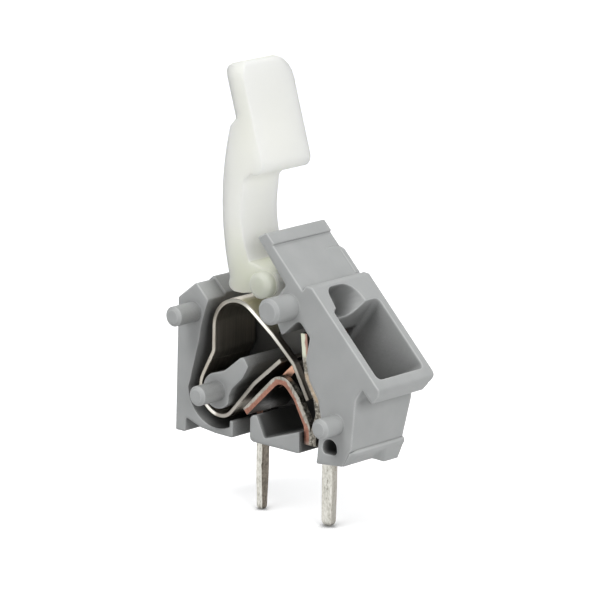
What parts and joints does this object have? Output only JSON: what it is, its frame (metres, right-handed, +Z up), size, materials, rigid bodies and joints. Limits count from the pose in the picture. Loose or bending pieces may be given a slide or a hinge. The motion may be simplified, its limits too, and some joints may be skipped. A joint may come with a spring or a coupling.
{
  "type": "pcb terminal block",
  "caption": "Modular circuit-board terminal block with an open side, spring cage clamp, slanted conductor entry, side pegs and a finger lever that opens the clamp.",
  "frame": {"origin": "board surface, midway between the two solder pins, middle of the module width", "axes": "+X to the conductor entry, +Y across the row to the closed side wall, +Z up from the board"},
  "size_m": [0.0149, 0.0069, 0.0261],
  "materials": {
    "grey_moulding": "satin moulded polyamide",
    "white_moulding": "natural translucent moulding",
    "spring_steel": "rolled strip",
    "tinned_copper": "tin plated, copper showing on cut edges"
  },
  "bodies": {
    "module": {"housing": "grey_moulding", "clamp_spring": "spring_steel", "current_bar": "tinned_copper"},
    "lever": {"operating_lever": "white_moulding"}
  },
  "joints": [
    {"name": "lever_tilt", "type": "hinge", "parent": "module", "child": "lever", "pos_m": [-0.001, 0, 0.0096], "axis": [0, -1, 0], "range_deg": [0, 50], "stiffness_Nm_per_rad": 0.002, "springref_deg": -11.46, "deforming": ["clamp_spring"]}
  ]
}
